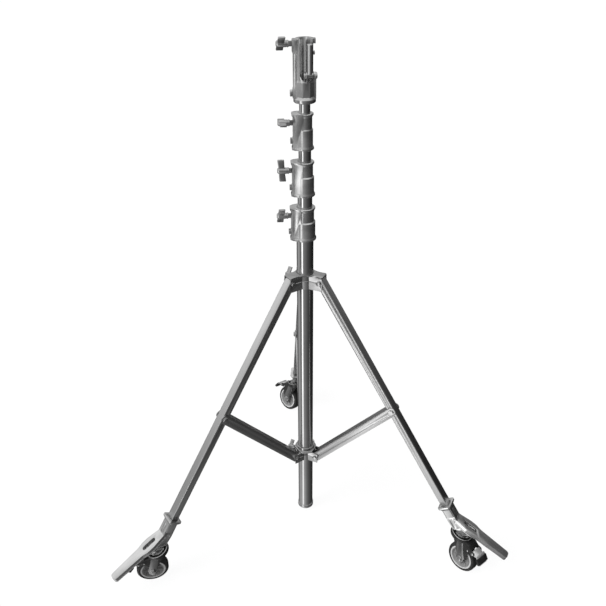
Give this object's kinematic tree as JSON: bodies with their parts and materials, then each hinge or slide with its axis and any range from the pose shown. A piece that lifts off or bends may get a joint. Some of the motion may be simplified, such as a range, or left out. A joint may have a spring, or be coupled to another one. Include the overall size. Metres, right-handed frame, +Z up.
{
  "type": "roller stand for lights",
  "caption": "Telescoping chromed column with winged lock handles and a junior receiver on three folding channel-braced legs with braked casters.",
  "frame": {"origin": "Centre of the column's foot face, on the column's axis; the floor is 12 mm below.", "axes": "+Z up along the column; the rear leg points along +Y; the lock handles point along -X."},
  "size_m": [1.265, 1.1024, 1.6468],
  "materials": {
    "chrome_tube": "polished chrome plating on steel tube",
    "cast_aluminium": "satin die-cast alloy",
    "plated_handle": "bright plated steel",
    "plated_sheet": "pale zinc-plated pressed sheet",
    "brushed_leg": "brushed stainless steel",
    "plated_bolt": "zinc-plated fasteners",
    "black_nylon": "black nylon guide",
    "black_fork": "semi-gloss black paint",
    "black_rubber": "black rubber tread",
    "grey_nylon": "grey moulded wheel core",
    "pedal_steel": "bright plated pressed steel"
  },
  "bodies": {
    "base": {"upper_hub_plate": "plated_sheet", "upper_hub_cheeks": "plated_sheet", "upper_hinge_bolts": "plated_bolt"},
    "upper_knob": {"upper_hub_knob": "plated_handle"},
    "column": {"column_tube": "chrome_tube", "column_end_cap": "cast_aluminium", "collar_3": "cast_aluminium", "collar_3_bolt": "plated_bolt"},
    "handle_3": {"handle_3": "plated_handle"},
    "riser_1": {"riser_1_tube": "chrome_tube", "riser_1_bush": "black_nylon", "collar_2": "cast_aluminium", "collar_2_bolt": "plated_bolt"},
    "handle_2": {"handle_2": "plated_handle"},
    "riser_2": {"riser_2_tube": "chrome_tube", "riser_2_bush": "black_nylon", "collar_1": "cast_aluminium", "collar_1_bolt": "plated_bolt"},
    "handle_1": {"handle_1": "plated_handle"},
    "riser_3": {"riser_3_tube": "chrome_tube", "riser_3_bush": "black_nylon", "head_casting": "cast_aluminium", "head_bolts": "plated_bolt"},
    "head_handle": {"head_handle": "plated_handle"},
    "baby_pin": {"baby_pin": "chrome_tube"},
    "lower_hub": {"lower_hub_plate": "plated_sheet", "lower_hub_cheeks": "plated_sheet", "lower_hub_bolts": "plated_bolt"},
    "lower_knob": {"lower_hub_knob": "plated_handle"},
    "leg_rear": {"leg_tube_rear": "brushed_leg", "foot_casting_rear": "cast_aluminium", "kingpin_rear": "plated_bolt", "brace_pin_rear": "plated_bolt"},
    "brace_rear": {"brace_rear": "brushed_leg"},
    "fork_rear": {"fork_rear": "black_fork", "axle_rear": "plated_bolt"},
    "wheel_rear": {"wheel_core_rear": "grey_nylon", "tyre_rear": "black_rubber"},
    "pedal_rear": {"brake_pedal_rear": "pedal_steel"},
    "leg_left": {"leg_tube_left": "brushed_leg", "foot_casting_left": "cast_aluminium", "kingpin_left": "plated_bolt", "brace_pin_left": "plated_bolt"},
    "brace_left": {"brace_left": "brushed_leg"},
    "fork_left": {"fork_left": "black_fork", "axle_left": "plated_bolt"},
    "wheel_left": {"wheel_core_left": "grey_nylon", "tyre_left": "black_rubber"},
    "pedal_left": {"brake_pedal_left": "pedal_steel"},
    "leg_right": {"leg_tube_right": "brushed_leg", "foot_casting_right": "cast_aluminium", "kingpin_right": "plated_bolt", "brace_pin_right": "plated_bolt"},
    "brace_right": {"brace_right": "brushed_leg"},
    "fork_right": {"fork_right": "black_fork", "axle_right": "plated_bolt"},
    "wheel_right": {"wheel_core_right": "grey_nylon", "tyre_right": "black_rubber"},
    "pedal_right": {"brake_pedal_right": "pedal_steel"}
  },
  "joints": [
    {"name": "column_slide", "type": "slide", "parent": "base", "child": "column", "axis": [0, 0, 1], "range_m": [0, 0.2]},
    {"name": "riser_1_slide", "type": "slide", "parent": "column", "child": "riser_1", "axis": [0, 0, 1], "range_m": [0, 0.95]},
    {"name": "riser_2_slide", "type": "slide", "parent": "riser_1", "child": "riser_2", "axis": [0, 0, 1], "range_m": [0, 0.95]},
    {"name": "riser_3_slide", "type": "slide", "parent": "riser_2", "child": "riser_3", "axis": [0, 0, 1], "range_m": [0, 0.95]},
    {"name": "handle_3_turn", "type": "hinge", "parent": "column", "child": "handle_3", "pos_m": [-0.045, 0, 1.138], "axis": [-1, 0, 0], "range_deg": [0, 270]},
    {"name": "handle_2_turn", "type": "hinge", "parent": "riser_1", "child": "handle_2", "pos_m": [-0.045, 0, 1.2733], "axis": [-1, 0, 0], "range_deg": [0, 270]},
    {"name": "handle_1_turn", "type": "hinge", "parent": "riser_2", "child": "handle_1", "pos_m": [-0.045, 0, 1.4076], "axis": [-1, 0, 0], "range_deg": [0, 270]},
    {"name": "head_handle_turn", "type": "hinge", "parent": "riser_3", "child": "head_handle", "pos_m": [-0.045, 0, 1.6119], "axis": [-1, 0, 0], "range_deg": [0, 270]},
    {"name": "upper_knob_turn", "type": "hinge", "parent": "base", "child": "upper_knob", "pos_m": [-0.03897, 0.0225, 0.93442], "axis": [-0.866, 0.5, 0], "range_deg": [0, 270]},
    {"name": "lower_knob_turn", "type": "hinge", "parent": "lower_hub", "child": "lower_knob", "pos_m": [-0.03897, 0.0225, 0.25177], "axis": [-0.866, 0.5, 0], "range_deg": [0, 270]},
    {"name": "baby_pin_swing", "type": "hinge", "parent": "riser_3", "child": "baby_pin", "pos_m": [0.01234, -0.02129, 1.5359], "axis": [0.9816, 0.1908, 0], "range_deg": [0, 90]},
    {"name": "leg_rear_fold", "type": "hinge", "parent": "base", "child": "leg_rear", "pos_m": [0, 0.054, 0.93442], "axis": [-1, 0, 0], "range_deg": [0, 26]},
    {"name": "brace_rear_fold", "type": "hinge", "parent": "leg_rear", "child": "brace_rear", "pos_m": [0, 0.30599, 0.53887], "axis": [-1, 0, 0], "range_deg": [-59.07, 0]},
    {"name": "caster_rear_swivel", "type": "hinge", "parent": "leg_rear", "child": "fork_rear", "pos_m": [0, 0.57142, 0.12223], "axis": [0, 0.2756, 0.9613], "continuous": true},
    {"name": "wheel_rear_roll", "type": "hinge", "parent": "fork_rear", "child": "wheel_rear", "pos_m": [-0.02877, 0.58146, 0.04133], "axis": [-0.7431, -0.6432, 0.1844], "continuous": true},
    {"name": "pedal_rear_press", "type": "hinge", "parent": "fork_rear", "child": "pedal_rear", "pos_m": [-0.04684, 0.61674, 0.09155], "axis": [-0.7431, -0.6432, 0.1844], "range_deg": [0, 12]},
    {"name": "leg_left_fold", "type": "hinge", "parent": "base", "child": "leg_left", "pos_m": [-0.04677, -0.027, 0.93442], "axis": [0.5, -0.866, 0], "range_deg": [0, 26]},
    {"name": "brace_left_fold", "type": "hinge", "parent": "leg_left", "child": "brace_left", "pos_m": [-0.265, -0.153, 0.53887], "axis": [0.5, -0.866, 0], "range_deg": [-59.07, 0]},
    {"name": "caster_left_swivel", "type": "hinge", "parent": "leg_left", "child": "fork_left", "pos_m": [-0.49486, -0.28571, 0.12223], "axis": [-0.2387, -0.1378, 0.9613], "continuous": true},
    {"name": "wheel_left_roll", "type": "hinge", "parent": "fork_left", "child": "wheel_left", "pos_m": [-0.51795, -0.28206, 0.039], "axis": [0.1851, -0.9782, -0.0943], "continuous": true},
    {"name": "pedal_left_press", "type": "hinge", "parent": "fork_left", "child": "pedal_left", "pos_m": [-0.55754, -0.29425, 0.08776], "axis": [0.1851, -0.9782, -0.0943], "range_deg": [0, 12]},
    {"name": "leg_right_fold", "type": "hinge", "parent": "base", "child": "leg_right", "pos_m": [0.04677, -0.027, 0.93442], "axis": [0.5, 0.866, 0], "range_deg": [0, 26]},
    {"name": "brace_right_fold", "type": "hinge", "parent": "leg_right", "child": "brace_right", "pos_m": [0.265, -0.153, 0.53887], "axis": [0.5, 0.866, 0], "range_deg": [-59.07, 0]},
    {"name": "caster_right_swivel", "type": "hinge", "parent": "leg_right", "child": "fork_right", "pos_m": [0.49486, -0.28571, 0.12223], "axis": [0.2387, -0.1378, 0.9613], "continuous": true},
    {"name": "wheel_right_roll", "type": "hinge", "parent": "fork_right", "child": "wheel_right", "pos_m": [0.5021, -0.30849, 0.03915], "axis": [0.7754, 0.6229, -0.1033], "continuous": true},
    {"name": "pedal_right_press", "type": "hinge", "parent": "fork_right", "child": "pedal_right", "pos_m": [0.53173, -0.33727, 0.088], "axis": [0.7754, 0.6229, -0.1033], "range_deg": [0, 12]},
    {"name": "lower_hub_slide", "type": "slide", "parent": "base", "child": "lower_hub", "axis": [0, 0, 1], "range_m": [-0.1664, 0]}
  ],
  "couplings": [
    {"joint": "leg_left_fold", "follows": "leg_rear_fold", "ratio": 1},
    {"joint": "leg_right_fold", "follows": "leg_rear_fold", "ratio": 1},
    {"joint": "brace_rear_fold", "follows": "leg_rear_fold", "ratio": -2.2717},
    {"joint": "brace_left_fold", "follows": "leg_rear_fold", "ratio": -2.2717},
    {"joint": "brace_right_fold", "follows": "leg_rear_fold", "ratio": -2.2717},
    {"joint": "lower_hub_slide", "follows": "leg_rear_fold", "m_per_rad": -0.36655}
  ]
}
